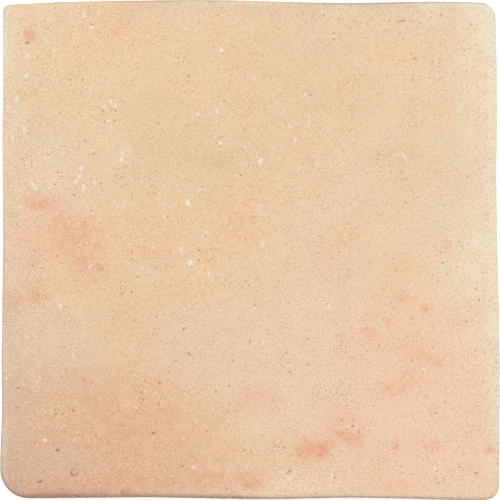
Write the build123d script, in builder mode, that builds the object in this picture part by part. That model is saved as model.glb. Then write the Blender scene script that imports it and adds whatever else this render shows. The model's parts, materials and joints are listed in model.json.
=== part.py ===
from build123d import *
import os

# Handmade terracotta field tile, lying on its bedding face with the wearing face up.
# X runs across the tile, Y away from the viewer and Z up. The origin is the middle of the
# bedding face. The tile is one fired body, so it is one solid.

tile_width = 300.0          # X, over the proudest points of the left and right edges
tile_length = 300.0         # Y, over the proudest points of the front and back edges
tile_thickness = 20.0       # bedding face to the highest point of the wearing face

# The clay was pressed by hand in a wooden frame, so no edge is straight. Each edge is a list
# of (share of its run, how far it stands in from the tile's square): the front and back edges
# from left to right, the left and right edges from front to back. The ends are the corners.
front_edge = [(0.0, 0.8), (0.15, 1.15), (0.31, 1.5), (0.54, 0.4), (0.71, 1.25), (0.9, 0.0), (1.0, 0.1)]
right_edge = [(0.0, 0.8), (0.2, 0.0), (0.37, 0.4), (0.62, 2.0), (0.79, 1.65), (1.0, 3.1)]
back_edge = [(0.0, 3.1), (0.1, 1.3), (0.27, 0.2), (0.48, 0.2), (0.7, 1.55), (0.87, 0.8), (1.0, 2.0)]
left_edge = [(0.0, 0.3), (0.07, 0.0), (0.18, 1.0), (0.28, 0.85), (0.5, 1.65), (0.7, 1.25), (0.84, 1.5),
             (1.0, 1.5)]

# Corners, knocked round to different sizes.
front_left_radius = 17.5
front_right_radius = 8.2
back_right_radius = 9.3
back_left_radius = 4.3

# Section through an edge: widest at the belly, and drawn in above it and below it.
belly_height = 9.0          # height of the widest line over the bedding face
face_draw_in = 1.0          # how far the wearing face stands in from the belly
bed_draw_in = 0.7           # how far the bedding face stands in from the belly
face_arris = 3.2            # radius that wiping and use wore on the upper edge
bed_arris = 1.0             # radius that the frame left on the lower edge

# The wearing face is a soft, uneven crown. These are depths below a flat face, with the
# back row first and each row from left to right.
crown_depths = [
    [1.5, 0.9, 0.7, 0.9, 1.3],
    [0.9, 0.1, -0.4, 0.2, 0.8],
    [0.8, -0.3, -0.4, 0.1, 0.7],
    [1.0, 0.2, -0.2, 0.0, 0.8],
    [1.8, 1.0, 0.7, 0.8, 1.2],
]
crown_overhang = 10.0       # how far the crown's surface runs out past the tile's square

# The largest pits, where flakes and lime grains burst out of the wearing face:
# (share of half the width, share of half the length, radius of the mouth, depth).
pits = [
    (-0.70, -0.888, 3.0, 0.8),
    (-0.24, -0.052, 1.5, 0.5),
    (0.04, 0.352, 1.4, 0.5),
    (-0.864, 0.26, 1.6, 0.4),
]


def draw_in_at(height):
    """How far the side stands in from the belly at a height, as two half parabolas."""
    if height < belly_height:
        return bed_draw_in * (1 - height / belly_height) ** 2
    return face_draw_in * ((height - belly_height) / (tile_thickness - belly_height)) ** 2


def outline_at(height):
    """The tile's outline at one height, with its corners still sharp."""
    draw_in = draw_in_at(height)
    left, right = draw_in - tile_width / 2, tile_width / 2 - draw_in
    front, back = draw_in - tile_length / 2, tile_length / 2 - draw_in

    def stations(start, end, edge):
        """Each (distance along, distance in) of an edge that runs from start to end."""
        return [(start + share * (end - start), inset) for share, inset in edge]

    with BuildSketch(Plane.XY.offset(height)) as outline:
        with BuildLine():
            Spline([(x, front + inset) for x, inset in
                    stations(left + left_edge[0][1], right - right_edge[0][1], front_edge)])
            Spline([(right - inset, y) for y, inset in
                    stations(front + front_edge[-1][1], back - back_edge[-1][1], right_edge)])
            Spline([(x, back - inset) for x, inset in
                    stations(left + left_edge[-1][1], right - right_edge[-1][1], back_edge)])
            Spline([(left + inset, y) for y, inset in
                    stations(front + front_edge[0][1], back - back_edge[0][1], left_edge)])
        make_face()
    return outline.sketch


def crown_surface():
    """The wearing face, wide enough to cut right through every edge."""
    half_width = tile_width / 2 + crown_overhang
    half_length = tile_length / 2 + crown_overhang
    rows, columns = len(crown_depths), len(crown_depths[0])
    surface = Face.make_bezier_surface([
        [(half_width * (2 * column / (columns - 1) - 1),
          half_length * (1 - 2 * row / (rows - 1)),
          -crown_depths[row][column])
         for column in range(columns)]
        for row in range(rows)
    ])
    return surface.moved(Location((0, 0, tile_thickness - surface.bounding_box().max.Z)))


crown = crown_surface()
with BuildPart() as field_tile:
    # The pressed body: outlines stacked from the bedding face to a little over the crown.
    body_top = 1.1 * tile_thickness
    loft([outline_at(height) for height in
          (0, belly_height / 2, belly_height, (belly_height + body_top) / 2, body_top)])

    # Each corner has its own radius.
    for side_x, side_y, radius in ((-1, -1, front_left_radius), (1, -1, front_right_radius),
                                   (1, 1, back_right_radius), (-1, 1, back_left_radius)):
        corner = Vector(side_x * tile_width / 2, side_y * tile_length / 2, body_top / 2)
        upright_edges = field_tile.edges().filter_by(
            lambda edge: edge.bounding_box().size.Z > body_top / 2)
        fillet(upright_edges.sort_by_distance(corner)[0], radius)

    # The wearing face is wiped down to the crown, then its edge wears round.
    extrude(crown, amount=tile_thickness, dir=(0, 0, 1), mode=Mode.SUBTRACT)
    fillet(field_tile.faces().sort_by(Axis.Z)[-1].edges(), face_arris)
    fillet(field_tile.faces().sort_by(Axis.Z)[0].edges(), bed_arris)

    # Each pit is the cap of a ball that dips into the wearing face. The ball is laid over, so
    # that its pole stays out of the pit.
    for share_x, share_y, mouth_radius, depth in pits:
        x, y = share_x * tile_width / 2, share_y * tile_length / 2
        surface_point, _ = crown.find_intersection_points(Axis((x, y, 0), (0, 0, 1)))[0]
        ball_radius = (mouth_radius ** 2 + depth ** 2) / (2 * depth)
        with Locations((x, y, surface_point.Z - depth + ball_radius)):
            Sphere(ball_radius, rotation=(90, 0, 0), mode=Mode.SUBTRACT)

field_tile.part.label = "field_tile"
os.makedirs("parts", exist_ok=True)
export_step(field_tile.part, "parts/field_tile.step")
print("field tile:", field_tile.part.bounding_box(), "volume", field_tile.part.volume)
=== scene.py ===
import json
import math
import random

import bpy
import numpy as np
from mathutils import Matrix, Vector, geometry, noise
from mathutils.bvhtree import BVHTree

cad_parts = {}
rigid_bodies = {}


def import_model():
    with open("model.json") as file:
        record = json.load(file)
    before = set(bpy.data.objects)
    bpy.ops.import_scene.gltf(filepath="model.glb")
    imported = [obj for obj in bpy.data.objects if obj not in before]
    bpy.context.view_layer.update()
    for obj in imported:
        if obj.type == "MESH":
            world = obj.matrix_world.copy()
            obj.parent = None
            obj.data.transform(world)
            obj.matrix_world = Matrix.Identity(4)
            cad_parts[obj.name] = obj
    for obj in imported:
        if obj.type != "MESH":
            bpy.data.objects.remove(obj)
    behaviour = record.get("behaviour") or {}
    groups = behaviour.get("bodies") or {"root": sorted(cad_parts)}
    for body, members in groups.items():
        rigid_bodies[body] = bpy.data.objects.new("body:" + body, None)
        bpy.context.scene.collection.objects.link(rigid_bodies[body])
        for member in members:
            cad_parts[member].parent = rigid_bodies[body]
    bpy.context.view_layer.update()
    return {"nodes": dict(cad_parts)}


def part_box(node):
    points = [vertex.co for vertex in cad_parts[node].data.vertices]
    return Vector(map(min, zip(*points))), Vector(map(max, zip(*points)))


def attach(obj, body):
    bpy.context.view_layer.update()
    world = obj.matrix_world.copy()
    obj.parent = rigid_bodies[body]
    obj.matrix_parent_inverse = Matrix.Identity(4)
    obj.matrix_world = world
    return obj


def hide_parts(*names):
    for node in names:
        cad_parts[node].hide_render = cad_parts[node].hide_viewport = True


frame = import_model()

# A handmade terracotta tile that lies on its back, dressed over its CAD solid.

mm = 0.001
tileLow, tileHigh = (Vector(corner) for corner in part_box("field_tile"))
tileMiddle = (tileLow + tileHigh) / 2
tileSize = tileHigh - tileLow

# The photograph is cropped to the tile, so its pixels give places on the tile.
pictureWidth = 500
pixel = tileSize.x / pictureWidth

randomMarks = random.Random(41)


def placeOf(across, down):
    return tileLow.x + across * pixel, tileHigh.y - down * pixel


def putInScene(name, data):
    thing = bpy.data.objects.new(name, data)
    bpy.context.scene.collection.objects.link(thing)
    return thing


def pictureOf(places):
    # Where points lie in the photograph, across and down in pixels.
    return (places[:, 0] - tileLow.x) / pixel, (tileHigh.y - places[:, 1]) / pixel


# The tile's own shape

clayBody = {
    "name": "fired_clay_tile",
    "coreInset": 10.0 * mm,      # the rim is worked out from a ring this far inside the tile's square
    "coreRadius": 6.0 * mm,      # and rounded this much at its corners
    "faceStep": 1.45 * mm,       # mesh size on the wearing face
    "rimStep": 1.4 * mm,         # mesh size along the rim
    "bedStep": 3.0 * mm,         # mesh size on the back
    "cornerSteps": 20,
    "rimSteps": (5, 8, 12, 4, 3),    # over the face, its arris, the side, the lower arris and the back
    "faceDrawIn": 1.0 * mm,      # the solid's own section, which the rows of the rim follow
    "faceArris": 3.2 * mm,
    "bedDrawIn": 0.7 * mm,
    "bedArris": 1.0 * mm,
    "smoothings": 10,
    "smoothShares": (0.5, -0.52),    # each pass, and the one that gives the size back
    "rayHeight": 10.0 * mm,      # how far over the tile the rays onto its face start
}

# how far out from the middle the core's corners begin to round
coreHalfX, coreHalfY = (size / 2 - clayBody["coreInset"] - clayBody["coreRadius"] for size in tileSize.xy)


def sectionRows():
    # Directions (out, up) from the core ring to points spread over the rim's section.
    half = tileSize.z / 2
    reach = clayBody["coreInset"]
    arris, bedArris = clayBody["faceArris"], clayBody["bedArris"]
    arrisOut = reach - clayBody["faceDrawIn"] - arris
    bedOut = reach - clayBody["bedDrawIn"] - bedArris
    sideTop, sideFoot = half - arris, bedArris - half
    onFace, onArris, onSide, onBedArris, onBack = clayBody["rimSteps"]

    def quarterTurn(steps):
        return [math.pi / 2 * i / steps for i in range(steps + 1)]

    rows = [(arrisOut * i / onFace, half) for i in range(onFace)]
    rows += [(arrisOut + arris * math.sin(a), half - arris + arris * math.cos(a))
             for a in quarterTurn(onArris)]
    rows += [(reach, sideTop + (sideFoot - sideTop) * i / onSide) for i in range(1, onSide)]
    rows += [(bedOut + bedArris * math.cos(a), sideFoot - bedArris * math.sin(a))
             for a in quarterTurn(onBedArris)]
    rows += [(bedOut * (1 - i / onBack), -half) for i in range(1, onBack + 1)]
    return rows


def coreRing():
    # Points round the core and the way out from each, anticlockwise from the front right corner.
    radius = clayBody["coreRadius"]
    corners = [(coreHalfX, -coreHalfY), (coreHalfX, coreHalfY),
               (-coreHalfX, coreHalfY), (-coreHalfX, -coreHalfY)]
    ring = []
    for turn, (cornerX, cornerY) in enumerate(corners):
        for i in range(clayBody["cornerSteps"]):
            angle = math.radians(90 * (turn - 1 + i / clayBody["cornerSteps"]))
            out = Vector((math.cos(angle), math.sin(angle), 0))
            ring.append((Vector((cornerX, cornerY, 0)) + out * radius, out))
        out = Vector((math.cos(math.radians(90 * turn)), math.sin(math.radians(90 * turn)), 0))
        start = Vector((cornerX, cornerY, 0)) + out * radius
        end = Vector((*corners[(turn + 1) % 4], 0)) + out * radius
        steps = round((end - start).length / clayBody["rimStep"])
        ring += [(start.lerp(end, i / steps), out) for i in range(steps)]
    return [(tileMiddle + point, out) for point, out in ring]


# Marks in the wearing face. Places and sizes are pixels of the photograph.

limeGrains = {
    "proud": 0.16 * mm,
    "hollow": 0.22 * mm,     # depth of the burst that the whitest grains sit in
    "whitest": 0.9,          # from this whiteness on a grain sits in a burst
    "ragged": 0.45,          # how uneven a grain's outline is
    # where the whiteness and the burst fade, as shares of the grain's size
    "edge": (0.72, 1.12), "burstEdge": (0.8, 1.5),
    "pitRadius": 1.05, "pitAway": 0.5, "pitDark": 0.9,     # the pit beside a grain
    # fainter grains besides the placed ones, with their widths as shares of their lengths
    "scattered": 140, "clumping": 1.0, "seed": 3.0,
    "faintLengths": (1.6, 3.6), "faintWidths": (0.5, 0.9), "faintWhiteness": (0.2, 0.52),
    "faintSway": 25, "faintProud": 0.06 * mm,
    # across, down, length, width and whiteness, then its lean from upright to the right in degrees
    # and the pit that it left, 1 under its foot or -1 over its head: left out where they are 0
    "placed": [
        (85, 16, 7, 3.8, 1, -12, 1), (92.5, 28.5, 3.8, 3.8, 1, 0, -1), (222, 51, 7, 3.8, 1, -15, 1),
        (27.3, 77, 7, 3.4, 1, 0, 1), (28, 57, 7, 4.4, 0.7), (47, 42, 5, 3, 0.5, 10),
        (100, 82, 4, 2.4, 0.7), (90.6, 92, 2.8, 2.8, 0.8), (17.3, 99.8, 6, 4.8, 0.95, 40),
        (104.5, 108, 5.5, 3.6, 0.8, 5, 1), (111.6, 102.5, 6.5, 4, 0.9, -8),
        (116.2, 107.5, 6, 2.6, 0.8, 0, 1), (108.5, 121.8, 5, 3, 0.8, 75, 1), (112.3, 128, 6, 1.4, 0.5),
        (198, 115, 4.2, 3.8, 0.9, 30), (217.2, 113, 6.5, 2.8, 0.9, 4), (221.6, 105, 7, 1.5, 0.5),
        (222.2, 128, 5, 1.5, 0.5), (184.8, 123, 4.4, 2.6, 0.8, -8), (220.6, 144, 4.6, 3.2, 1, -5, 1),
        (14.2, 138.5, 6, 4, 0.9, 20), (25, 130.5, 7.5, 2.6, 1, -10), (10.5, 108, 7, 2.2, 0.7),
        (121.8, 160, 5.5, 2.8, 1, 62), (123.6, 154, 4.5, 4, 0.5), (94.4, 151.5, 4, 3, 0.7, 0, 1),
        (114, 147.5, 3.4, 3, 0.4), (82, 168, 5.5, 3.2, 0.9), (80, 177, 7, 4.5, 1, 20),
        (76.6, 182.5, 4.6, 3.2, 0.9), (84.4, 188, 6.6, 3, 1, -15), (95.6, 183.3, 4.4, 3.4, 1),
        (55, 180, 4.6, 3.2, 0.8, 60), (34.4, 185, 11, 4, 0.9, -32), (49.2, 158, 3, 2.8, 0.8, 0, -1),
        (188.2, 203.7, 6.8, 5.2, 1, 18, 1), (124.4, 205.7, 4.4, 2.6, 0.7), (115, 202.5, 4.6, 3, 0.4),
        (137, 208.6, 2.4, 2, 0.5), (164.6, 186, 3.4, 3, 0.5), (200, 189.5, 4, 3, 0.8, 45, -1),
        (237, 176.5, 4, 3, 0.6), (206.6, 232.6, 5, 4, 0.85, 20, 1), (165.5, 217, 4, 3, 0.5),
        (154, 247.5, 5, 3, 0.8, -30), (181, 249.6, 6, 4.2, 0.7), (190.6, 262.5, 7.2, 5.6, 1, -15, 1),
        (143.4, 267.5, 4, 2.4, 0.6), (209, 274, 6.5, 2.2, 0.8), (262, 243, 5, 3, 0.7),
        (259.4, 206.5, 4, 3, 0.7), (260.2, 213, 4, 2.6, 0.7), (301.4, 203.4, 4.4, 3, 0.8),
        (299, 188, 5, 2.6, 0.6, 5), (304.2, 96, 4.6, 3.4, 0.9, 20), (306.7, 104, 7, 2, 0.8),
        (309, 121, 7, 1.8, 0.7), (276.8, 104.4, 4.4, 3, 0.7), (289.5, 127, 4.6, 3, 0.9, -15),
        (295.3, 140.3, 5, 2.8, 0.8, 20), (272.8, 148.7, 4, 2.6, 0.6), (260.4, 162.2, 6, 4.6, 1, 12),
        (282, 115, 4, 2.4, 0.5), (254, 79, 4.4, 3, 0.6), (333.4, 37.4, 3.6, 3, 0.9, 0, 1),
        (391, 144.8, 3, 2.6, 0.6), (463.6, 87, 3, 2.6, 0.7), (396.4, 155.2, 10, 2.6, 0.65, 63),
        (403.6, 156.8, 9.5, 3.2, 0.65, -32), (353.7, 204, 5, 2.6, 0.7, 25),
        (348, 210.6, 4.6, 2.4, 0.6, 25), (62, 305.8, 4.6, 3.4, 0.9), (6.6, 378, 4, 3, 0.7),
        (12.6, 55.6, 4, 3, 0.6), (40.7, 376.8, 3.6, 2.6, 0.6), (20, 207, 4, 3, 0.6),
        (24, 213, 5, 3, 0.7, 60), (48, 264, 5, 2.4, 0.6, 70), (91, 266, 6, 2.4, 0.6, 50),
        (46, 439.3, 5, 3.8, 1, 80), (80.6, 439, 4.6, 2, 0.7), (136.9, 407.3, 3, 2.8, 1, 0, 1),
        (155.4, 392.7, 3, 2.6, 0.6), (193.4, 466.5, 4, 3, 0.8), (246.4, 465.2, 4.4, 2.8, 0.7),
        (228.8, 419.8, 3, 2.4, 0.6), (185, 309, 4, 2.8, 0.6), (254.9, 307.8, 4, 3, 0.8, 0, -1),
        (329.3, 306, 6.5, 2.4, 0.9, -38), (422.8, 368.8, 4.2, 3.8, 1, 0, 1), (422, 332.7, 3.6, 2.6, 0.7),
        (285, 388.7, 4, 3, 0.7), (263.7, 342, 3.6, 2.6, 0.6), (349, 470.4, 3.6, 3, 0.9, -30),
        (332.2, 474.4, 5, 3, 0.8, -35, 1), (434.4, 466.8, 6.5, 2, 0.9, -22, 1), (489, 474, 3, 2.6, 0.7),
        (346.6, 426, 3.4, 3, 0.7, 0, 1), (184, 326.5, 4, 2.6, 0.5, 0, 1), (35, 142, 3, 2, 0.4),
    ],
}

pinholes = {
    "scattered": 430, "clumping": 1.1, "seed": 8.0,
    "smallest": 0.28,        # radii in pixels
    "largest": 0.68,
    "depthShare": 0.6,       # depth over radius
    "squash": (0.7, 1.0),    # width over length
    "edge": (0.35, 1.0),     # where the darkness fades, as a share of the radius
    # a pinhole's darkness is partly dirt in it and partly painted shade of its hollow
    "dark": 0.62, "darkest": 0.8,            # darkness of a placed one, for a radius of 1, and its limit
    "faintDark": 0.3, "sizeDark": 0.4,       # darkness of a scattered one, and what size adds to it
    # across, down, radius
    "placed": [
        (100, 33.6, 1), (94.4, 26.4, 1), (413.4, 59.8, 1.25), (412.3, 81, 1.2), (323.8, 17.2, 0.9),
        (470.5, 25.7, 1.25), (351, 30, 0.8), (492.3, 79.2, 0.9), (101.5, 183.8, 1.2), (132.4, 292, 1.25),
        (189.5, 353.8, 1.35), (232.6, 360, 1.15), (229.4, 385.2, 1.25), (18.8, 388, 1), (18.3, 407.2, 1.4),
        (74, 410, 1.2), (142.4, 391.4, 1.15), (160.4, 383, 1.5), (154.2, 432, 1.05), (207, 430.8, 1.3),
        (188.5, 412.6, 1), (114, 412.6, 1), (199, 260.4, 1.3), (207, 259, 0.8), (156, 269, 0.9),
        (116, 303, 0.9), (458.6, 466.4, 1.1), (474.8, 472.7, 1.1), (457.6, 447.2, 0.8), (474.1, 289, 1.1),
        (321, 275, 0.9), (179, 59, 1.1), (188.8, 77.2, 1.2), (188.6, 82.8, 1), (71, 80.6, 1.15),
        (83.2, 81, 1.15), (218.5, 17, 1), (132.4, 12, 1.25), (160, 25, 0.9), (224.4, 102, 1.2),
        (60.6, 114, 0.9), (49.4, 155, 0.85), (39.5, 148.6, 0.9), (75, 195.6, 1.4), (92, 211.5, 1.1),
        (245, 130, 1), (247.5, 155, 0.9), (138, 154.5, 0.9), (41, 481, 1.2), (58.7, 449.7, 1),
        (53, 418, 1.1), (22.4, 480.6, 1.1), (32, 418.6, 0.9), (45, 471, 1.1), (97, 434.8, 1.2),
        (56.5, 413.2, 1.1), (63.6, 413.4, 1.1), (135.6, 413.8, 1), (123, 490.3, 1.3), (78, 495, 1.1),
        (402.6, 389, 0.9), (354, 22.2, 0.9), (360, 24.6, 0.8), (388.7, 22, 1.1), (399, 34.8, 1),
        (333.5, 35.2, 1.2), (333.6, 40.8, 0.8), (369.3, 60, 1), (431.4, 63.4, 1), (437.7, 68, 1.1),
        (431.6, 71.6, 0.9), (428.6, 78.6, 1), (386, 76.3, 1), (439, 80.7, 1), (449.6, 12.3, 0.9),
        (490.4, 79, 0.9), (356.6, 408, 0.9), (352, 425.3, 1.2), (341.4, 420, 1), (358.6, 431.4, 1),
        (359, 453, 0.9), (372, 459, 0.9), (475, 472.6, 1.1), (402, 472, 0.9), (397, 486, 0.9),
        (444, 402, 1), (372.6, 405, 0.9), (435.4, 412.4, 1), (289, 303, 0.9), (308, 364, 1.2),
        (138, 277, 1.15), (411, 360, 1.15), (250, 341, 1.15), (478, 300, 1.25), (284, 447, 1.3),
        (183, 465, 1.1), (159, 124, 1.1), (466, 177, 1.1), (86, 142, 1.1), (18, 225, 1.1), (176, 360, 1.1),
        (159, 403, 1.25), (34, 266, 1.1), (59, 173, 1.2), (433, 247, 1), (435, 256, 1), (441.6, 263, 1.1),
        (457.5, 242, 1.1), (461, 246.6, 0.9), (447, 242, 0.9), (440, 252.5, 1), (482, 272.8, 1),
        (425.6, 309.4, 1.1), (437, 281.5, 1), (411, 318.5, 0.9), (465.6, 321.5, 1.1), (402.7, 298.8, 0.9),
        (407.5, 283, 0.9), (199, 250.2, 1.35), (241, 176, 1.15), (121, 282, 1.15), (290, 372, 1.15),
        (123, 294, 1.15), (47, 298, 1.15), (310, 96, 1.1), (405, 203, 1.1), (216, 391, 1.15),
        (144, 399, 1.15), (168, 217, 1.1), (327, 304, 1.1), (170, 286, 1.1), (58, 256, 1.1),
        (13.5, 242, 1.1), (251, 451, 1.1), (56, 185, 1.1), (157, 317, 1.1), (245, 450, 1.1),
        (132, 252, 1.1), (272, 450, 1.1), (286, 353, 1.1), (84, 379, 1.2),
    ],
}

# Longer faults.
slits = {
    # partly dirt, partly painted shade that deepens with the slit
    "shallowDark": 0.3, "depthDark": 0.9, "darkest": 0.75,     # darkness, and what a millimetre adds
    # across, down, length, width, lean, depth in millimetres
    "placed": [
        (402.3, 22, 8, 2.6, 82, 0.4), (397.5, 22.8, 5, 1.8, 70, 0.2), (28.2, 44, 7, 2.6, 86, 0.5),
        (184.2, 328, 5, 1.8, 80, 0.4), (41, 481, 6, 2.4, 75, 0.5), (289, 470.6, 9, 2.3, 50, 0.5),
        (123.6, 177.6, 6, 1.2, 80, 0.15), (387, 387, 8, 1.3, 80, 0.2), (395, 270.6, 3, 1.6, 60, 0.3),
        (115, 121.6, 4, 1.6, 86, 0.3), (58.6, 449.8, 5, 2.3, 84, 0.5), (18.8, 388, 4, 2, 84, 0.4),
        (154, 432.2, 4.4, 2, 80, 0.5), (116, 177, 5, 1, 86, 0.1), (24, 160, 3, 1.6, 60, 0.3),
    ],
}

# A lump of clay that stands in its own ring, open at the upper right.
ringedLump = {
    # the groove's darkness is partly dirt, partly painted shade
    "across": 75.3, "down": 471.9, "radius": 2.9, "grooveWidth": 1.25, "depth": 0.36 * mm, "dark": 0.75,
    "meshRings": (0.4, 0.7, 0.85, 1.0, 1.15, 1.3, 1.6), "meshPoints": 24,      # shares of the radius
}

# Places where the wiping dragged grit along.
scuffs = {
    "depth": 0.12 * mm, "sway": 14,
    "lengths": (0.6, 1.3), "widths": (0.8, 1.3), "dark": (0.25, 0.6),      # each dash's own
    # across, down, spread, dashes, length, lean
    "placed": [
        (342, 394, 15, 34, 3, 60), (281, 445, 8, 12, 2.6, 45), (316, 392, 10, 14, 2.6, 75),
        (443, 480, 9, 9, 5, 50), (340, 350, 10, 12, 2.4, 70), (120, 178, 9, 8, 3, 82),
        (444, 248, 9, 10, 2.4, 35), (476, 255, 9, 7, 2.4, 50), (150, 388, 12, 12, 2.4, 20),
        (160, 265, 12, 14, 2.2, 80), (208, 255, 14, 14, 2.2, 60), (100, 265, 14, 12, 2.6, 60),
        (440, 72, 12, 8, 2.2, 10), (98, 120, 14, 12, 2.2, 40), (380, 160, 12, 10, 2.4, 84),
        (455, 470, 16, 12, 2.4, -60),
    ],
}

# Worn and dented stretches of the rim: across, down, reach in pixels, depth in millimetres.
dents = [
    (134, 499, 11, 0.5), (205, 499, 13, 0.55), (240, 499, 10, 0.5), (62, 498, 10, 0.4),
    (350, 500, 16, 0.2), (455, 501, 18, 0.4), (350, 1, 24, 0.45), (395, 1, 16, 0.35), (300, 0, 12, 0.25),
    (12, 488, 9, 0.4), (1, 60, 12, 0.25), (0, 300, 16, 0.2), (499, 210, 18, 0.25), (500, 330, 14, 0.2),
    (490, 7, 8, 0.3),
]


# Where the fire and the clay's salts changed its colour, and where narrow patches along the rim paint the
# arris's shade and highlight. Each patch is an ellipse: across, down, half width, half height, strength in
# per cent and, where it isn't 0, its lean in degrees.

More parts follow.
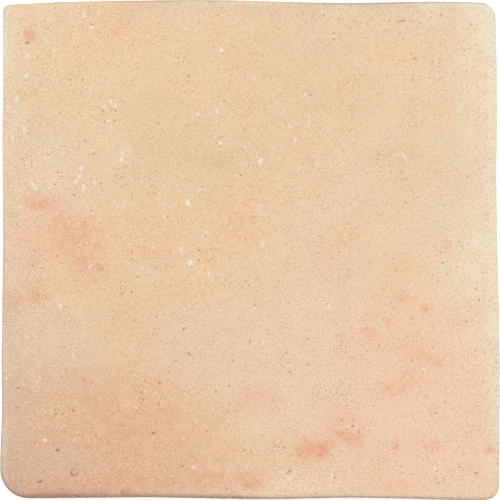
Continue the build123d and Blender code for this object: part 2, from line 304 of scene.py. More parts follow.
tints = {
    # how far noise pulls a patch's outline about in pixels, and the noise's length in millimetres
    "rags": [(3.4, 9.0), (2.0, 2.8)], "ragSeed": 7.0 * mm,
    "edge": (0.15, 1.35),    # where a patch begins to fade and ends, as shares of its size
    "blush": [
        (36, 203, 18, 10, 50, 10), (57, 222, 24, 12, 20, 20), (72, 243, 34, 22, 36, 8),
        (90, 264, 20, 22, 24), (54, 240, 50, 42, 12), (88, 282, 18, 14, 14), (30, 236, 24, 24, 12),
        (56, 288, 30, 13, 14), (106, 264, 18, 15, 14), (88, 290, 18, 12, 12), (112, 412, 24, 16, 7),
        (112, 458, 24, 14, 8), (36, 268, 22, 18, 13), (36, 286, 16, 12, 6), (258, 485, 10, 7, 22),
        (88, 226, 18, 16, 26), (118, 274, 22, 16, 14), (250, 404, 34, 20, 12), (340, 418, 26, 16, 16),
        (218, 480, 52, 12, 24), (140, 378, 60, 24, 16), (38, 296, 12, 10, 36), (14, 304, 12, 12, 22),
        (25, 296, 24, 14, 18), (31, 37, 7, 6, 75), (318, 450, 15, 9, 52, -15), (312, 447, 22, 13, 34, -8),
        (327, 445, 10, 7, 20, -10), (301, 456, 14, 8, 14, -30), (306, 443, 10, 8, 26),
        (334, 440, 40, 18, 10, -20), (336, 434, 13, 7, 30, 15), (349, 437, 17, 7, 42, 12),
        (357, 443, 9, 6, 18), (334, 421, 11, 7, 14, -20), (350, 417, 10, 12, 12, 20),
        (390, 484, 56, 8, 14), (78, 268, 14, 10, 22), (56, 203, 14, 8, 22), (166, 268, 14, 10, 16),
        (394, 444, 6, 5.5, 42), (433, 445, 10, 7, 30), (487, 449, 6, 6, 40), (250, 482, 16, 12, 34),
        (146, 428, 70, 48, 12), (136, 437, 50, 15, 9), (237, 362, 22, 16, 5), (215, 432, 30, 34, 10),
        (92, 484, 90, 18, 24), (180, 474, 70, 20, 16), (214, 161, 24, 11, 12), (236, 448, 34, 14, 8),
        (6, 112, 10, 40, 14), (60, 212, 14, 10, 12), (36, 300, 16, 8, 12), (393, 388, 17, 8, 26, -12),
        (442, 248, 10, 8, 12), (424, 307, 14, 6, 10), (402, 297, 9, 6, 24, 10), (424, 309, 9, 5, 22, -10),
        (387, 321, 6, 8, 24), (368, 331, 9, 4, 26, -20), (364, 341, 7, 4, 20), (340, 339, 6, 5, 20),
        (404, 346, 8, 5, 22, 20), (414, 355, 10, 6, 22), (433, 361, 11, 6, 34, 10),
        (404, 374, 8, 5, 26, -15), (374, 348, 6, 4, 16), (454, 323, 9, 5, 14), (410, 318, 8, 5, 14),
        (400, 330, 80, 70, 7), (265, 396, 26, 16, 16), (300, 470, 150, 36, 12), (420, 420, 120, 90, 12),
        (56, 420, 70, 60, 20), (236, 222, 18, 24, 10), (157, 252, 20, 12, 10), (330, 260, 60, 40, 6),
    ],
    "ochre": [
        (122, 32, 46, 20, 42, -5), (102, 20, 24, 12, 20), (26, 8, 14, 5, 50), (125, 2, 36, 8, 50),
        (213, 30, 14, 16, 34), (243, 66, 17, 28, 34), (392, 54, 22, 14, 36), (345, 85, 52, 8, 34),
        (440, 112, 14, 26, 30), (42, 98, 36, 8, 36), (246, 112, 14, 28, 26), (302, 150, 28, 18, 38),
        (236, 230, 28, 32, 36), (157, 252, 28, 14, 46), (208, 258, 32, 13, 40),
        (345, 236, 34, 18, 26, -50), (403, 300, 18, 13, 20), (421, 312, 15, 10, 20),
        (366, 336, 22, 10, 20), (424, 356, 20, 12, 24), (400, 382, 20, 12, 30, -15),
        (150, 224, 96, 34, 20), (187, 290, 34, 22, 30), (112, 224, 22, 30, 16), (312, 187, 26, 18, 24),
        (400, 340, 70, 56, 14), (398, 488, 28, 12, 20), (437, 412, 18, 14, 12), (350, 362, 30, 14, 15),
        (262, 390, 18, 14, 10), (237, 162, 18, 14, 14), (468, 318, 24, 20, 34), (404, 265, 22, 16, 34),
        (262, 237, 18, 16, 14), (287, 212, 18, 16, 14), (262, 312, 18, 14, 12), (440, 440, 90, 60, 14),
        (480, 470, 26, 22, 14), (290, 452, 50, 24, 14), (228, 446, 34, 16, 14), (152, 426, 66, 44, 50),
        (130, 330, 34, 50, 24), (250, 190, 44, 20, 26), (250, 296, 44, 10, 8), (90, 60, 70, 26, 12),
        (180, 100, 60, 60, 10),
    ],
    # smoke brown from the fire; the narrow patches along the top and bottom edges are painted shade of the
    # arris
    "smoke_and_shade": [
        (150, 420, 84, 58, 16, 5), (108, 444, 70, 40, 12), (190, 482, 70, 14, 16), (60, 470, 90, 40, 26),
        (14, 430, 34, 90, 14), (80, 492, 110, 16, 22), (214, 161, 24, 11, 8), (130, 478, 44, 14, 13),
        (140, 332, 130, 44, 7.5), (87, 187, 26, 18, 8), (150, 226, 90, 30, 3.5), (112, 462, 26, 16, 6),
        (250, 150, 32, 28, 5), (384, 156, 28, 13, 8), (70, 396, 60, 36, 20), (56, 440, 34, 20, 14),
        (200, 470, 70, 30, 10), (128, 499, 28, 10, 60), (150, 495, 50, 5, 16), (200, 496, 30, 4.5, 16),
        (216, 499, 50, 9, 60), (66, 499, 56, 11, 62), (140, 2, 50, 5, 14), (340, 500, 90, 5, 35),
        (250, 0, 260, 2.5, 50), (100, 498, 110, 8, 25), (455, 500, 40, 4, 20), (4, 420, 6, 60, 30),
        (10, 490, 18, 14, 40, 45),
    ],
    "olive": [
        (150, 112, 38, 26, 20), (176, 150, 46, 30, 24), (300, 56, 60, 40, 18), (330, 100, 44, 22, 24),
        (146, 170, 30, 44, 12), (66, 348, 44, 36, 30), (20, 336, 24, 20, 16), (128, 312, 20, 34, 22),
        (220, 186, 30, 20, 20), (360, 30, 90, 24, 20), (404, 146, 36, 26, 10), (262, 285, 40, 10, 16),
        (262, 312, 18, 14, 14), (164, 238, 18, 14, 12), (62, 162, 20, 16, 14), (312, 187, 18, 14, 10),
        (262, 137, 18, 14, 14), (20, 428, 34, 60, 20), (240, 130, 130, 90, 10),
    ],
    # grey ash tone; the narrow patches along the top and bottom edges are painted shade of the arris
    "ash_and_shade": [
        (30, 268, 18, 20, 16), (22, 292, 18, 10, 16), (44, 345, 34, 36, 14), (10, 484, 22, 18, 26),
        (62, 462, 30, 20, 10), (12, 430, 20, 40, 14), (36, 137, 50, 22, 12), (200, 8, 90, 12, 10),
        (12, 164, 16, 26, 10), (4, 250, 14, 60, 20), (4, 180, 12, 40, 20), (12, 112, 14, 16, 14),
        (14, 288, 16, 14, 28), (10, 244, 16, 36, 18), (36, 312, 20, 12, 12), (275, 9, 36, 14, 10),
        (120, 10, 40, 10, 10), (488, 12, 14, 12, 26), (20, 437, 30, 16, 10), (12, 387, 16, 16, 10),
        (18, 425, 28, 34, 10), (6, 345, 22, 60, 24), (12, 420, 28, 70, 34), (12, 474, 44, 36, 34),
        (60, 490, 60, 20, 20), (370, 3, 80, 8, 65), (360, 10, 120, 12, 10), (120, 1, 100, 4, 25),
        (455, 3, 30, 6, 30), (220, 0, 40, 4, 30), (380, 500, 140, 5, 50), (70, 499, 90, 9, 40),
        (8, 330, 14, 40, 20),
    ],
    # pale salt bloom; the two thin patches just over the bottom edge are a painted highlight on the arris
    "bloom_and_highlight": [
        (288, 480, 17, 15, 28), (486, 237, 20, 30, 16), (487, 62, 20, 24, 14), (206, 491, 34, 4, 20),
        (482, 150, 30, 150, 34), (496, 160, 14, 170, 45), (488, 24, 30, 30, 60), (494, 70, 14, 60, 45),
        (498, 440, 9, 60, 50), (470, 240, 34, 48, 24), (440, 205, 30, 30, 12), (482, 326, 22, 20, 50),
        (5, 130, 12, 110, 20), (56, 160, 30, 30, 10), (12, 40, 16, 46, 20), (450, 100, 30, 60, 14),
        (494, 380, 14, 130, 50), (466, 278, 44, 26, 10, 20), (20, 8, 24, 9, 30), (18, 124, 14, 24, 30),
        (123, 152, 10, 12, 24), (428, 412, 26, 14, 8), (437, 140, 18, 14, 12), (462, 62, 20, 16, 15),
        (337, 462, 22, 14, 12), (487, 237, 16, 16, 16), (228, 491, 34, 4, 24), (340, 12, 18, 12, 24),
        (420, 20, 90, 20, 10), (432, 17, 26, 14, 26), (412, 464, 22, 16, 6), (487, 462, 14, 14, 20),
        (470, 290, 36, 50, 30), (46, 16, 12, 10, 25),
    ],
    # peach tone; the thin patch just over the bottom edge is a painted highlight on the arris
    "peach_and_highlight": [
        (430, 400, 110, 130, 54), (440, 440, 70, 50, 36), (400, 312, 30, 16, 20), (470, 310, 60, 60, 30),
        (250, 484, 120, 12, 40), (330, 484, 120, 14, 45), (440, 488, 80, 16, 30), (330, 440, 120, 60, 20),
        (400, 60, 80, 60, 14), (415, 250, 44, 36, 28), (468, 362, 34, 30, 30), (478, 462, 34, 24, 34),
        (387, 362, 22, 20, 24), (337, 462, 34, 14, 22), (412, 312, 18, 16, 30), (436, 464, 48, 16, 34),
        (224, 491, 44, 5, 40), (300, 300, 90, 60, 10), (90, 210, 30, 40, 16),
    ],
    "chalk": [
        (280, 476, 22, 16, 30), (312, 37, 28, 20, 24), (387, 137, 24, 18, 18), (62, 462, 30, 20, 12),
        (36, 40, 22, 20, 14), (300, 345, 76, 66, 36), (230, 320, 80, 34, 8), (340, 200, 60, 60, 18),
        (14, 262, 18, 34, 40), (18, 232, 30, 38, 24), (12, 287, 14, 14, 20), (62, 226, 26, 22, 16),
        (187, 12, 20, 14, 20), (62, 12, 18, 12, 20), (12, 87, 12, 16, 20), (74, 462, 26, 16, 14),
        (12, 487, 14, 14, 50), (87, 487, 22, 12, 16), (290, 236, 30, 32, 12), (55, 180, 50, 34, 26),
        (300, 400, 90, 36, 26), (24, 336, 28, 22, 10), (430, 200, 54, 54, 6), (400, 420, 90, 50, 20),
        (60, 350, 50, 40, 26), (340, 270, 44, 30, 28), (190, 350, 60, 50, 20), (20, 420, 30, 60, 36),
        (360, 360, 40, 60, 16),
    ],
}

# where the sandy grain of the clay shows most
sandy = [
    (30, 290, 110, 250, 60), (40, 250, 60, 70, 40), (160, 480, 220, 90, 40), (310, 400, 170, 110, 35),
    (60, 60, 160, 110, 20),
]
tintOrder = ("olive", "ash_and_shade", "chalk", "peach_and_highlight", "bloom_and_highlight", "ochre", "smoke_and_shade", "blush")


def tintOf(patches, places):
    # How strongly one tint colours each point, with the patches' outlines pulled about by noise.
    across, down = pictureOf(places)
    for reach, length in tints["rags"]:
        pull = np.array([noise.noise_vector(Vector((x, y, tints["ragSeed"])) / (length * mm))
                         for x, y, z in places])
        across, down = across + reach * pull[:, 0], down + reach * pull[:, 1]
    left = np.ones(len(places))
    for middleX, middleY, halfWidth, halfHeight, strength, *lean in patches:
        slope = math.radians(sum(lean))
        sine, cosine = math.sin(slope), math.cos(slope)
        offX, offY = across - middleX, down - middleY
        share = np.hypot((offX * cosine + offY * sine) / halfWidth,
                         (offY * cosine - offX * sine) / halfHeight)
        left *= 1 - strength / 100 * (1 - smoothStep(share, *tints["edge"]))
    return 1 - left


# Painted shade and painted sheen along the rim: a darker line at the outline where the arris turns from
# the light, and a paler band as if it caught the white surroundings. Each stretch is a patch as above, and
# then how far in from the tile's outline it reaches, in pixels. It keeps its strength over the given share
# of that reach.

rims = {
    # painted sheen: a paler band along the outline, as if the arris caught the white surroundings
    "painted_rim_sheen": [
        (250, 250, 400, 400, 16, 9), (484, 12, 34, 30, 45, 13), (496, 50, 12, 40, 50, 11),
        (496, 250, 14, 90, 16, 10), (498, 390, 12, 60, 30, 9), (2, 430, 12, 90, 30, 12),
        (450, 2, 60, 12, 30, 12), (4, 40, 12, 50, 30, 13), (380, 500, 160, 10, 20, 8),
    ],
    # painted shade: a darker line along the outline where the arris turns away from the light, widest
    # along the bottom edge
    "painted_rim_shade": [
        (250, 250, 400, 400, 22, 2), (70, 500, 56, 16, 16, 6.4), (12, 482, 30, 30, 40, 5),
        (2, 400, 14, 80, 40, 3), (490, 8, 22, 22, 30, 2.6), (360, 3, 80, 12, 40, 4),
        (180, 0, 70, 10, 40, 2.6), (300, 500, 240, 12, 30, 3.5), (456, 2, 40, 10, 40, 3),
        (2, 260, 10, 60, 20, 4), (498, 470, 14, 40, 20, 4), (8, 8, 16, 16, 16, 6),
        (58, 500, 32, 16, 28, 8), (28, 500, 20, 16, 24, 8.6), (92, 500, 20, 14, 26, 6.4),
        (148, 500, 34, 14, 30, 6.2), (205, 500, 24, 14, 20, 4.8), (242, 500, 24, 14, 30, 5),
        (60, 1, 26, 10, 16, 4), (140, 0, 50, 10, 14, 4),
    ],
}
rimSolid = {"painted_rim_sheen": 0.3, "painted_rim_shade": 0.6}
rimEdge = (0.3, 1.3)         # where a stretch begins to fade and ends, as shares of its size
rimFoot = (0.1, 0.4)         # and where it does so down the side, as shares of the tile's height


def inwardOf(places, ringCount, rowCount):
    # How far each point of the rim lies in from its own ring column's proudest point, in pixels.
    rim = places[:rowCount * ringCount].reshape(rowCount, ringCount, 3)[:, :, :2]
    proudest = np.argmax(np.linalg.norm(rim - np.array(tileMiddle.xy), axis=2), axis=0)
    inward = np.full(len(places), np.inf)
    offPeak = rim - rim[proudest, np.arange(ringCount)]
    inward[:rowCount * ringCount] = np.linalg.norm(offPeak, axis=2).ravel()
    return inward / pixel


def rimMask(name, places, inward):
    across, down = pictureOf(places)
    left = np.ones(len(places))
    for middleX, middleY, halfWidth, halfHeight, strength, reach in rims[name]:
        share = np.hypot((across - middleX) / halfWidth, (down - middleY) / halfHeight)
        fading = 1 - smoothStep(inward, rimSolid[name] * reach, reach)
        left *= 1 - strength / 100 * (1 - smoothStep(share, *rimEdge)) * fading
    return (1 - left) * smoothStep(places[:, 2], *(share * tileSize.z for share in rimFoot))


# How scattered marks are strewn: how far they keep from the picture's edge and how large their
# crowds are, in pixels, and the share of the places tried that is taken.
strewing = {"margin": 9, "crowdSize": 45, "taken": 0.45}


def makeMarks():
    marks = []
    uniform, gauss = randomMarks.uniform, randomMarks.gauss

    def add(kind, across, down, length, width, lean, amount, depth):
        x, y = placeOf(across, down)
        marks.append({"kind": kind, "x": x, "y": y, "long": length * pixel / 2, "wide": width * pixel / 2,
                      "lean": math.radians(lean), "amount": amount, "depth": depth})

    def addPinhole(across, down, radius, dark):
        squash = uniform(*pinholes["squash"])
        add("pit", across, down, 2 * radius, 2 * radius * squash, uniform(0, 180), dark,
            pinholes["depthShare"] * radius * pixel)

    for across, down, length, width, white, *more in limeGrains["placed"]:
        lean, pit = (more + [0, 0])[:2]
        add("lime", across, down, length, width, lean, white, limeGrains["proud"] * white)
        if pit:
            away = pit * (length / 2 + limeGrains["pitAway"])
            slope = math.radians(lean)
            addPinhole(across - math.sin(slope) * away, down + math.cos(slope) * away,
                       limeGrains["pitRadius"], limeGrains["pitDark"])
    for across, down, radius in pinholes["placed"]:
        addPinhole(across, down, radius, min(pinholes["darkest"], pinholes["dark"] * radius))
    for across, down, length, width, lean, depth in slits["placed"]:
        dark = min(slits["darkest"], slits["shallowDark"] + slits["depthDark"] * depth)
        add("pit", across, down, length, width, lean, dark, depth * mm)
    for across, down, spread, count, length, lean in scuffs["placed"]:
        for i in range(count):
            add("pit", gauss(across, spread / 2), gauss(down, spread / 2),
                length * uniform(*scuffs["lengths"]), uniform(*scuffs["widths"]),
                gauss(lean, scuffs["sway"]), uniform(*scuffs["dark"]), scuffs["depth"])

    def scatter(kind):
        # Places that are denser where a slow noise is high.
        found, margin = 0, strewing["margin"]
        while found < kind["scattered"]:
            across, down = (uniform(margin, pictureWidth - margin) for i in range(2))
            crowd = noise.noise(Vector((across / strewing["crowdSize"], down / strewing["crowdSize"],
                                        kind["seed"])))
            if randomMarks.random() < strewing["taken"] + kind["clumping"] * crowd:
                found += 1
                yield across, down

    for across, down in scatter(limeGrains):
        length = uniform(*limeGrains["faintLengths"])
        add("lime", across, down, length, length * uniform(*limeGrains["faintWidths"]),
            gauss(0, limeGrains["faintSway"]), uniform(*limeGrains["faintWhiteness"]),
            limeGrains["faintProud"])
    for across, down in scatter(pinholes):
        size = randomMarks.random() ** 2
        radius = pinholes["smallest"] + (pinholes["largest"] - pinholes["smallest"]) * size
        addPinhole(across, down, radius, pinholes["faintDark"] + pinholes["sizeDark"] * size)
    return marks


class PointBins:
    # Points of the flat mesh, kept in bins so that a near one is found at once.
    def __init__(self, binSize):
        self.binSize, self.bins, self.points = binSize, {}, []

    def binOf(self, x, y):
        return math.floor(x / self.binSize), math.floor(y / self.binSize)

    def crowded(self, x, y, gap):
        column, row = self.binOf(x, y)
        return any(math.hypot(x - otherX, y - otherY) < gap
                   for i in (-1, 0, 1) for j in (-1, 0, 1)
                   for otherX, otherY in self.bins.get((column + i, row + j), ()))

    def add(self, x, y):
        self.bins.setdefault(self.binOf(x, y), []).append((x, y))
        self.points.append(Vector((x, y)))


def insideCore(x, y, margin):
    awayX, awayY = abs(x - tileMiddle.x) - coreHalfX, abs(y - tileMiddle.y) - coreHalfY
    return math.hypot(max(awayX, 0), max(awayY, 0)) < clayBody["coreRadius"] - margin


markMesh = {
    # rings of points round a mark: size as a share of the mark's, and how many points
    "lime": ((0, 1), (0.5, 8), (0.92, 12), (1.25, 12), (1.6, 10)),
    "pit": ((0, 1), (0.6, 7), (1.1, 9)),
    "gap": 0.12 * mm,        # the least distance between two points
    "edgeShare": 0.6,        # distances from the even field to the ring and to a mark, over its step
    "fieldShare": 0.62,
    "reach": 1.6,            # how far a mark shapes the mesh, over its size
}


def flatFill(ring, step, marks):
    # Triangles inside the ring: rings of points round each mark, and an even field between them.
    bins = PointBins(step)
    for point, out in ring:
        bins.add(point.x, point.y)
    for mark in marks:
        sine, cosine = math.sin(mark["lean"]), math.cos(mark["lean"])
        for share, count in markMesh[mark["kind"]]:
            for i in range(count):
                turn = 2 * math.pi * (i + share) / count
                along = mark["long"] * share * math.cos(turn)
                across = mark["wide"] * share * math.sin(turn)
                x = mark["x"] + along * sine + across * cosine
                y = mark["y"] + along * cosine - across * sine
                if insideCore(x, y, step / 3) and not bins.crowded(x, y, markMesh["gap"]):
                    bins.add(x, y)
    if marks:
        middleX, middleY = placeOf(ringedLump["across"], ringedLump["down"])
        for share in ringedLump["meshRings"]:
            for i in range(ringedLump["meshPoints"]):
                turn = 2 * math.pi * (i + share) / ringedLump["meshPoints"]
                reach = ringedLump["radius"] * share * pixel
                x, y = middleX + reach * math.cos(turn), middleY + reach * math.sin(turn)
                if not bins.crowded(x, y, markMesh["gap"]):
                    bins.add(x, y)
    rowStep = step * math.sqrt(3) / 2
    for row in range(int(tileSize.y / rowStep)):
        y = tileLow.y + row * rowStep
        for column in range(int(tileSize.x / step)):
            x = tileLow.x + (column + row % 2 / 2) * step
            if (insideCore(x, y, step * markMesh["edgeShare"])
                    and not bins.crowded(x, y, step * markMesh["fieldShare"])):
                bins.add(x, y)
    points, edges, faces, origins, *rest = geometry.delaunay_2d_cdt(
        bins.points, [], [list(range(len(ring)))], 1, 1e-8)
    return points, faces, origins


def buildBody(marks):
    cadTile = frame["nodes"]["field_tile"]
    solid = BVHTree.FromObject(cadTile, bpy.context.evaluated_depsgraph_get())
    ring, rows = coreRing(), sectionRows()
    count = len(ring)
    places, faces, parts = [], [], []
    for out, up in rows:
        for point, away in ring:
            ray = (away * out + Vector((0, 0, up))).normalized()
            places.append(solid.ray_cast(point, ray)[0])
    for row in range(len(rows) - 1):
        for i in range(count):
            j = (i + 1) % count
            faces.append((row * count + i, (row + 1) * count + i, (row + 1) * count + j, row * count + j))
            parts.append(row)

    def fill(step, firstIndex, fillMarks, upward):
        points, triangles, origins = flatFill(ring, step, fillMarks)
        index = []
        for point, origin in zip(points, origins):
            onRing = [i for i in origin if i < count]
            if onRing:
                index.append(firstIndex + onRing[0])
                continue
            index.append(len(places))
            if upward:
                start = Vector((point.x, point.y, tileHigh.z + clayBody["rayHeight"]))
                places.append(solid.ray_cast(start, Vector((0, 0, -1)))[0])
            else:
                places.append(Vector((point.x, point.y, tileLow.z)))
        for triangle in triangles:
            corners = [index[i] for i in triangle]
            faces.append(tuple(corners if upward else reversed(corners)))
            parts.append(bakeMap["facePart"] if upward else bakeMap["bedPart"])

    fill(clayBody["faceStep"], 0, marks, True)
    fill(clayBody["bedStep"], (len(rows) - 1) * count, [], False)
    print("clay body:", len(places), "points,", len(faces), "faces")
    return np.array([tuple(place) for place in places]), faces, parts, count, len(rows)


def smoothed(places, faces):
    # Evens out the solid's facets, each pass followed by one that gives the size back.
    pairs = np.array(sorted({(min(a, b), max(a, b)) for face in faces
                             for a, b in zip(face, face[1:] + face[:1])}))
    neighbours = np.bincount(pairs.ravel(), minlength=len(places))[:, None]
    for i in range(clayBody["smoothings"]):
        for share in clayBody["smoothShares"]:
            pull = np.zeros_like(places)
            np.add.at(pull, pairs[:, 0], places[pairs[:, 1]])
            np.add.at(pull, pairs[:, 1], places[pairs[:, 0]])
            places = places + share * (pull / neighbours - places)
    return places


def normalsOf(places, faces):
    normals = np.zeros_like(places)
    for size in (3, 4):
        chosen = np.array([face for face in faces if len(face) == size])
        start = places[chosen[:, 0]]
        across = np.cross(places[chosen[:, 1]] - start, places[chosen[:, 2]] - start)
        for corner in range(size):
            np.add.at(normals, chosen[:, corner], across)
    return normals / np.linalg.norm(normals, axis=1)[:, None]


relief = {
    # lengths and heights in millimetres
    "faceWaves": [(70, 0.22), (26, 0.10), (9, 0.05), (4, 0.035)],
    "rimWaves": [(38, 0.10), (11, 0.10), (4, 0.08)],
    "bedWaves": [(45, 0.25), (16, 0.16), (7, 0.10)],
    "sideScrape": 0.14,      # drag lines that the frame left along the sides, and their size
    "scrapeLength": 30, "scrapeHeight": 1.1,
    "faceDrop": 0.10,        # how far the face and the rim are lowered, so that they stay in the box
    "rimDrop": 0.05,
    # how level a point has to lie to begin and to be wholly a part of the back or of the face
    "bedLevel": (0.6, 0.95), "faceLevel": (0.75, 0.98),
    "arrisLevel": (1.3, 0.4),        # where dents begin and reach their depth, in arris radii down
}


def waves(point, table, seed):
    return sum(height * noise.noise(Vector((point[0], point[1], point[2] + seed)) / (length * mm))
               for length, height in table) * mm


def smoothStep(value, low, high):
    share = np.clip((value - low) / (high - low), 0, 1)
    return share * share * (3 - 2 * share)


def shapeMarks(places, marks):
    # Heights and masks of the marks, for the points of the upper half.
    count = len(places)
    height, lime, pit = np.zeros(count), np.zeros(count), np.zeros(count)
    order = np.argsort(places[:, 0])
    ordered = places[order, 0]
    for mark in marks:
        reach = markMesh["reach"] * max(mark["long"], mark["wide"])
        low, high = np.searchsorted(ordered, [mark["x"] - reach, mark["x"] + reach])
        near = order[low:high]
        near = near[(np.abs(places[near, 1] - mark["y"]) < reach) & (places[near, 2] > tileMiddle.z)]
        offX, offY = places[near, 0] - mark["x"], places[near, 1] - mark["y"]
        sine, cosine = math.sin(mark["lean"]), math.cos(mark["lean"])
        along, across = offX * sine + offY * cosine, offX * cosine - offY * sine
        share = np.hypot(along / mark["long"], across / mark["wide"])
        if mark["kind"] == "lime":
            turn = np.arctan2(across, along)
            ragged = np.array([noise.noise(Vector((math.cos(t), math.sin(t), mark["x"] * 900)))
                               for t in turn])
            share = share * (1 + limeGrains["ragged"] * ragged)
            height[near] += mark["depth"] * np.clip(1 - share ** 2, 0, 1)
            if mark["amount"] >= limeGrains["whitest"]:
                height[near] -= limeGrains["hollow"] * (1 - smoothStep(share, *limeGrains["burstEdge"]))
            white = mark["amount"] * (1 - smoothStep(share, *limeGrains["edge"]))
            lime[near] = np.maximum(lime[near], white)
        else:
            height[near] -= mark["depth"] * np.clip(1 - share ** 2, 0, 1)
            dark = mark["amount"] * (1 - smoothStep(share, *pinholes["edge"]))
            pit[near] = np.maximum(pit[near], dark)
    x, y = placeOf(ringedLump["across"], ringedLump["down"])
    offX, offY = (places[:, 0] - x) / pixel, (places[:, 1] - y) / pixel
    offGroove = (np.hypot(offX, offY) - ringedLump["radius"]) / ringedLump["grooveWidth"]
    opening = 0.5 - 0.5 * (offX + offY) / (np.hypot(offX, offY) + 0.5) / math.sqrt(2)
    groove = np.exp(-offGroove ** 2) * opening ** 0.6 * (places[:, 2] > tileMiddle.z)
    height -= ringedLump["depth"] * groove
    pit = np.maximum(pit, ringedLump["dark"] * groove ** 1.5)
    return height, lime, pit * (1 - 0.7 * np.clip(lime, 0, 1))


def dressBody():
    marks = makeMarks()
    places, faces, parts, ringCount, rowCount = buildBody(marks)
    places = smoothed(places, faces)
    places[:, 2] = np.maximum(places[:, 2], tileLow.z)
    normals = normalsOf(places, faces)
    height, lime, pit = shapeMarks(places, marks)
    up = normals[:, 2]
    onBed = smoothStep(-up, *relief["bedLevel"])
    onFace = smoothStep(up, *relief["faceLevel"])
    onRim = 1 - onBed - onFace
    dent = np.zeros(len(places))
    onArris = smoothStep(places[:, 2], *(tileHigh.z - share * clayBody["faceArris"]
                                         for share in relief["arrisLevel"]))
    for across, down, reach, depth in dents:
        x, y = placeOf(across, down)
        share = np.hypot(places[:, 0] - x, places[:, 1] - y) / (reach * pixel)
        dent += depth * mm * (1 - smoothStep(share, 0.0, 1.0)) * onArris
    moves = np.zeros(len(places))
    for i, point in enumerate(places):
        if onFace[i] > 0:
            moves[i] += onFace[i] * (waves(point, relief["faceWaves"], 0.0) - relief["faceDrop"] * mm)
        if onRim[i] > 0:
            rim = waves(point, relief["rimWaves"], 0.4) - relief["rimDrop"] * mm
            along, over = relief["scrapeLength"] * mm, relief["scrapeHeight"] * mm
            scrape = noise.noise(Vector((point[0] / along, point[1] / along, point[2] / over)))
            moves[i] += onRim[i] * (min(rim, 0) + (scrape - 0.5) * relief["sideScrape"] * mm)
        if onBed[i] > 0:
            moves[i] -= onBed[i] * abs(waves(point, relief["bedWaves"], 0.9))
    moves += height - dent
    places = np.clip(places + normals * moves[:, None], tileLow, tileHigh)

    mesh = bpy.data.meshes.new(clayBody["name"])
    mesh.from_pydata(places.tolist(), [], faces)
    masks = {"lime": lime, "pit": pit}
    seenFromAbove = smoothStep(places[:, 2], tileMiddle.z, tileHigh.z - clayBody["faceArris"])
    for name in tintOrder:
        masks[name] = tintOf(tints[name], places) * seenFromAbove
    masks["sandy"] = tintOf(sandy, places)
    inward = inwardOf(places, ringCount, rowCount)
    for name in rims:
        masks[name] = rimMask(name, places, inward)
    for name, values in masks.items():
        mesh.attributes.new(name, "FLOAT", "POINT").data.foreach_set("value", values.astype(np.float32))
    layBakeMap(mesh, parts, places, ringCount, rowCount)
    mesh.shade_smooth()
    mesh.validate()
    print("clay body dressed with", len(marks), "marks")
    return putInScene(clayBody["name"], mesh)


bakeMap = {
    "name": "OFBake",
    "faceShare": 0.70,       # width of the wearing face on the map
    "bedShare": 0.27,
    "stripHeight": 0.055,    # height of a side's strip on the map
    "gap": 0.008,
    "faceRows": 11,          # rows of the rim that are seen from above
    "bedRows": 4,            # rows of the rim that belong to the back
    "facePart": -1,          # the parts inside the rim, whose own parts count from 0
    "bedPart": -2,
}


def layBakeMap(mesh, parts, places, ringCount, rowCount):
    # The wearing face takes most of the map, the sides lie over it as strips, the back beside it.
    layer = mesh.uv_layers.new(name=bakeMap["name"])
    gap, faceShare, bedShare = bakeMap["gap"], bakeMap["faceShare"], bakeMap["bedShare"]
    perMetre = faceShare / tileSize.x
    bedPerMetre = bedShare / tileSize.x
    lastSide = rowCount - 1 - bakeMap["bedRows"]
    quarter = ringCount // 4
    stripHeight = bakeMap["stripHeight"]
    spots = np.zeros((len(mesh.loops), 2))
    corners = np.array([loop.vertex_index for loop in mesh.loops])
    for face, part in zip(mesh.polygons, parts):
        span = slice(face.loop_start, face.loop_start + face.loop_total)
        chosen = corners[span]
        x, y = places[chosen, 0] - tileLow.x, places[chosen, 1] - tileLow.y
        if part == bakeMap["facePart"] or 0 <= part < bakeMap["faceRows"]:
            spots[span, 0] = gap + x * perMetre
            spots[span, 1] = gap + y * perMetre
        elif part == bakeMap["bedPart"] or part >= lastSide:
            spots[span, 0] = 2 * gap + faceShare + x * bedPerMetre
            spots[span, 1] = gap + y * bedPerMetre
        else:
            column = chosen % ringCount
            row = chosen // ringCount
            strip = min(column.min() // quarter, 3) if column.max() - column.min() <= 1 else 3
            column = np.where((column == 0) & (strip == 3), ringCount, column)
            spots[span, 0] = gap + (column - strip * quarter) / quarter * faceShare
            rise = (row - bakeMap["faceRows"]) / (lastSide - bakeMap["faceRows"])
            spots[span, 1] = 3 * gap + faceShare + strip * (stripHeight + gap) + rise * stripHeight
    layer.data.foreach_set("uv", spots.ravel())


# Shader nodes

class Wire:
    # One output of a node. Sums on wires add Math nodes.
    def __init__(self, nodes, socket):
        self.nodes, self.socket = nodes, socket

    def combine(self, operation, first, second):
        return self.nodes.add("ShaderNodeMath", {"operation": operation}, {0: first, 1: second})

    def __add__(self, other):
        return self.combine("ADD", self, other)

    def __sub__(self, other):
        return self.combine("SUBTRACT", self, other)

    def __rsub__(self, other):
        return self.combine("SUBTRACT", other, self)

    def __mul__(self, other):
        return self.combine("MULTIPLY", self, other)

    __radd__ = __add__
    __rmul__ = __mul__


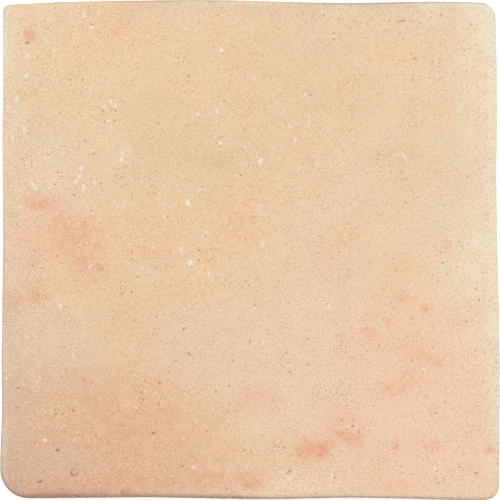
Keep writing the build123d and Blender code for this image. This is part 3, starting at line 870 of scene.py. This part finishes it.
class NodeMaker:
    def __init__(self, tree):
        self.tree = tree
        tree.nodes.clear()

    def add(self, nodeType, settings=None, sockets=None, output=0):
        node = self.tree.nodes.new(nodeType)
        for name, value in (settings or {}).items():
            setattr(node, name, value)
        for name, value in (sockets or {}).items():
            if isinstance(value, Wire):
                self.tree.links.new(value.socket, node.inputs[name])
            else:
                node.inputs[name].default_value = value
        return Wire(self, node.outputs[output]) if node.outputs else None

    def seen(self):
        # 1 where the camera looks, straight or by way of gloss or glass, and 0 for light on its way
        return (self.add("ShaderNodeLightPath", output="Is Camera Ray")
                + self.add("ShaderNodeLightPath", output="Is Glossy Ray")
                + self.add("ShaderNodeLightPath", output="Is Transmission Ray"))

    def mask(self, name):
        return self.add("ShaderNodeAttribute", {"attribute_name": name}, output="Fac")

    def tinted(self, base, colour, amount):
        return self.add("ShaderNodeMix", {"data_type": "RGBA"},
                        {"Factor": amount, 6: base, 7: colour}, output=2)

    def scaled(self, vector, scale):
        return self.add("ShaderNodeVectorMath", {"operation": "SCALE"}, {0: vector, "Scale": scale})

    def limits(self, value, low, high, start=0.0, end=1.0):
        ends = {"Value": value, "From Min": low, "From Max": high, "To Min": start, "To Max": end}
        return self.add("ShaderNodeMapRange", {"interpolation_type": "SMOOTHSTEP"}, ends)

    def grain(self, places, scale, detail=2.0, rough=0.5):
        return self.add("ShaderNodeTexNoise", {"noise_dimensions": "3D"},
                        {"Vector": places, "Scale": scale, "Detail": detail, "Roughness": rough})


def fired(red, green, blue):
    # A colour given as it looks on screen, 0 to 255, for a shader socket.
    def linear(value):
        value /= 255
        return value / 12.92 if value <= 0.04045 else ((value + 0.055) / 1.055) ** 2.4
    return linear(red), linear(green), linear(blue), 1.0


clayColours = {
    "buff": fired(232, 203, 165),
    "olive": fired(216, 188, 146),
    # grey ash, also used as painted shade along the edges
    "ash_and_shade": fired(194, 177, 158),
    "chalk": fired(235, 206, 184),
    # pale bloom, also used as a painted highlight on the bottom arris
    "bloom_and_highlight": fired(238, 229, 203),
    # peach, also used as a painted highlight on the bottom arris
    "peach_and_highlight": fired(244, 214, 184),
    "ochre": fired(238, 190, 148),
    # smoke brown, also used as painted shade along the edges
    "smoke_and_shade": fired(190, 138, 108),
    "blush": fired(230, 158, 126),
    # painted sheen for the rim
    "painted_rim_sheen": fired(229, 226, 213),
    # painted shade for the rim's outer edge
    "painted_rim_shade": fired(138, 114, 106),
    "lime": fired(243, 234, 217),
    "pit": fired(164, 96, 60),
    # pit brown: partly dirt, partly painted shade of the hollows
    "speck": fired(194, 115, 68),
    "crumb": fired(246, 230, 208),
}

clayTexture = {
    # noises: length in millimetres, detail and roughness
    "noises": {
        "grain": (1.2, 3.0, 0.6), "dust": (0.85, 1.0, 0.5), "cloud": (16.0, 3.0, 0.55),
        "brush": (4.5, 4.0, 0.7), "crowd": (12.0, 2.0, 0.5),
    },
    # how far each lightens and darkens the clay, and how far it runs from orange brown to pale
    "shades": {"grain": 0.075, "dust": 0.15, "cloud": 0.042},
    "warmths": {"grain": 0.28, "dust": 0.19},
    "mottle": 0.24,
    "mottleSpread": 0.25, "warmthSpread": 0.35,      # how far from its middle a noise gives the full tint
    # small spots in some cells of a cell texture: spacing in millimetres, share of the cells, size as
    # a share of the spacing, amount and colour
    "spots": {
        "speck": (2.0, 0.45, 0.34, 0.52, "speck"),
        "dot": (1.25, 0.42, 0.36, 0.4, "speck"),
        "crumb": (2.3, 0.45, 0.30, 0.5, "crumb"),
    },
    "spotCore": 0.3,         # where a spot is whole, as a share of its size
    "crowding": 2.0,
    "strayScale": 0.9, "strayReach": 1.6,        # noise that bends the cells
    # how far a tint is broken up: by the brush noise and by the grain, with the tints that differ
    "ragged": {"blush": 0.45, "ochre": 0.4, "chalk": 0.4}, "usualRagged": 0.22,
    "fray": {"blush": 1.5}, "usualFray": 0.9,
    "sandiness": 0.85,       # how much more the grain shows where the clay is sandy
    "limeSpeckle": (0.34, 0.62, 0.4, 1.0),       # where the dust bares the lime, and how far
    "bumpHeight": 0.10, "dustHeight": 0.5, "speckDepth": 0.8,
    "roughness": (0.80, 0.95),
}


def clayMaterial():
    material = bpy.data.materials.new("fired_clay")
    material.use_nodes = True
    nodes = NodeMaker(material.node_tree)
    texture = clayTexture
    places = nodes.scaled(nodes.add("ShaderNodeTexCoord", output="Object"), 1 / mm)
    noises = {name: nodes.grain(places, 1 / length, detail, rough)
              for name, (length, detail, rough) in texture["noises"].items()}
    grain, dust, brush = noises["grain"], noises["dust"], noises["brush"]

    def paired(colour, source, spread, lowTint, highTint, amount):
        # one tint where the noise is low and another where it is high
        for tint, end in ((lowTint, 0.5 - spread), (highTint, 0.5 + spread)):
            colour = nodes.tinted(colour, clayColours[tint], nodes.limits(source, 0.5, end) * amount)
        return colour

    # a faint mottling, then the fire's tints with the painted shade and highlight along the rim among
    # them, each broken up by the grain
    colour = paired(clayColours["buff"], brush, texture["mottleSpread"], "chalk", "ochre",
                    texture["mottle"])
    for name in tintOrder:
        ragged = texture["ragged"].get(name, texture["usualRagged"])
        fray = texture["fray"].get(name, texture["usualFray"])
        rag = nodes.limits(brush, 0.3, 0.7, 1 - ragged, 1 + ragged) + (grain - 0.5) * fray
        colour = nodes.tinted(colour, clayColours[name], nodes.mask(name) * rag)
    # painted shade and painted sheen along the rim
    for name in rims:
        colour = nodes.tinted(colour, clayColours[name], nodes.mask(name))
    for name, amount in texture["warmths"].items():
        colour = paired(colour, noises[name], texture["warmthSpread"], "speck", "crumb", amount)

    # the spots lie crowded in places, and none is quite round
    stray = nodes.add("ShaderNodeTexNoise", {},
                      {"Vector": places, "Scale": texture["strayScale"], "Detail": 1.0}, output="Color")
    strewn = nodes.add("ShaderNodeVectorMath", {"operation": "ADD"},
                       {0: places, 1: nodes.scaled(stray, texture["strayReach"])})
    spots, core = {}, texture["spotCore"]
    for name, (spacing, share, size, amount, tint) in texture["spots"].items():
        cells = {"Vector": strewn, "Scale": 1 / spacing, "Randomness": 1.0}
        near = nodes.add("ShaderNodeTexVoronoi", {"feature": "F1"}, cells, output="Distance")
        kind = nodes.add("ShaderNodeTexVoronoi", {"feature": "F1"}, cells, output="Color")
        pick = nodes.add("ShaderNodeSeparateColor", {}, {"Color": kind})
        seldom = pick + (0.5 - noises["crowd"]) * texture["crowding"]
        spots[name] = nodes.limits(near, size, size * core) * nodes.limits(seldom, share, share * core)
        colour = nodes.tinted(colour, clayColours[tint], spots[name] * amount)

    shades = {name: (noises[name] - 0.5) * amount * 2 for name, amount in texture["shades"].items()}
    fine = (shades["grain"] + shades["dust"]) * (nodes.mask("sandy") * texture["sandiness"] + 1.0)
    colour = nodes.scaled(colour, fine + shades["cloud"] + 1.0)
    # darker in pinholes, slits, scuffs and the ring's groove: partly dirt, partly painted shade of the
    # hollows
    colour = nodes.tinted(colour, clayColours["pit"], nodes.mask("pit"))
    chalky = nodes.mask("lime") * nodes.limits(dust, *texture["limeSpeckle"])
    colour = nodes.tinted(colour, clayColours["lime"], chalky)

    height = grain + dust * texture["dustHeight"] - spots["speck"] * texture["speckDepth"]
    bump = nodes.add("ShaderNodeBump", {}, {"Strength": 1.0, "Distance": texture["bumpHeight"] * mm,
                                            "Height": height})
    roughness = nodes.limits(grain, 0.3, 0.7, *texture["roughness"])
    surface = nodes.add("ShaderNodeBsdfPrincipled", {},
                        {"Base Color": colour, "Roughness": roughness, "Normal": bump})
    nodes.add("ShaderNodeOutputMaterial", {}, {"Surface": surface})
    return material


# Studio

studio = {
    "lens": 180.0,
    "sensor": 36.0,
    "clipEnd": 20.0,
    "floorSize": 8.0,
    "floorGap": 0.2 * mm,    # how far the floor lies under the tile
    "floorColour": (0.9, 0.9, 0.9, 1.0),
    "floorGlow": 0.5,        # what it takes for the floor to look white
    "skyStrength": 0.50,
    # where each lamp hangs over the tile in metres, its size and its power
    "lamps": {
        "rightLamp": ((3.4, 0.9, 2.1), 2.4, 56.0),
        "leftLamp": ((-3.4, 0.9, 2.1), 2.4, 60.0),
        "highLamp": ((0.2, 1.6, 3.6), 2.4, 32.0),
    },
}


def makeCamera():
    data = bpy.data.cameras.new("overhead_camera")
    data.lens, data.sensor_width = studio["lens"], studio["sensor"]
    data.clip_end = studio["clipEnd"]
    # as high as it takes for the tile's outline just to fill the picture
    reach = 2 * studio["lens"] / studio["sensor"]
    height = max(spot.co.z + reach * max(abs(spot.co.x - tileMiddle.x), abs(spot.co.y - tileMiddle.y))
                 for spot in tilePiece.data.vertices)
    camera = putInScene("overhead_camera", data)
    camera.location = (tileMiddle.x, tileMiddle.y, height)
    bpy.context.scene.camera = camera


def makeFloor():
    half = studio["floorSize"] / 2
    mesh = bpy.data.meshes.new("studio_floor")
    low = tileLow.z - studio["floorGap"]
    mesh.from_pydata([(-half, -half, low), (half, -half, low), (half, half, low), (-half, half, low)],
                     [], [(0, 1, 2, 3)])
    material = bpy.data.materials.new("studio_floor")
    material.use_nodes = True
    nodes = NodeMaker(material.node_tree)
    paper = nodes.add("ShaderNodeBsdfDiffuse", {}, {"Color": studio["floorColour"]})
    glow = nodes.add("ShaderNodeEmission", {}, {"Color": (1, 1, 1, 1), "Strength": studio["floorGlow"]})
    white = nodes.add("ShaderNodeAddShader", {}, {0: paper, 1: glow})
    surface = nodes.add("ShaderNodeMixShader", {}, {0: nodes.seen(), 1: paper, 2: white})
    nodes.add("ShaderNodeOutputMaterial", {}, {"Surface": surface})
    mesh.materials.append(material)
    floor = putInScene("studio_floor", mesh)


def makeLight():
    world = bpy.data.worlds.new("studio")
    world.use_nodes = True
    bpy.context.scene.world = world
    nodes = NodeMaker(world.node_tree)
    sky = nodes.add("ShaderNodeBackground", {}, {"Color": (1, 1, 1, 1), "Strength": studio["skyStrength"]})
    white = nodes.add("ShaderNodeBackground", {}, {"Color": (1, 1, 1, 1), "Strength": 1.0})
    surface = nodes.add("ShaderNodeMixShader", {}, {0: nodes.seen(), 1: sky, 2: white})
    nodes.add("ShaderNodeOutputWorld", {}, {"Surface": surface})
    for name, (place, size, power) in studio["lamps"].items():
        data = bpy.data.lights.new(name, "AREA")
        data.shape, data.size, data.energy = "DISK", size, power
        lamp = putInScene(name, data)
        lamp.location = place
        lamp.rotation_euler = Vector(place).to_track_quat("Z", "Y").to_euler()


tilePiece = dressBody()
tilePiece.data.materials.append(clayMaterial())
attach(tilePiece, "root")
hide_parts("field_tile")
print("clay fired")

makeFloor()
makeLight()
makeCamera()
bpy.context.scene.view_settings.view_transform = "Standard"
print("studio set")
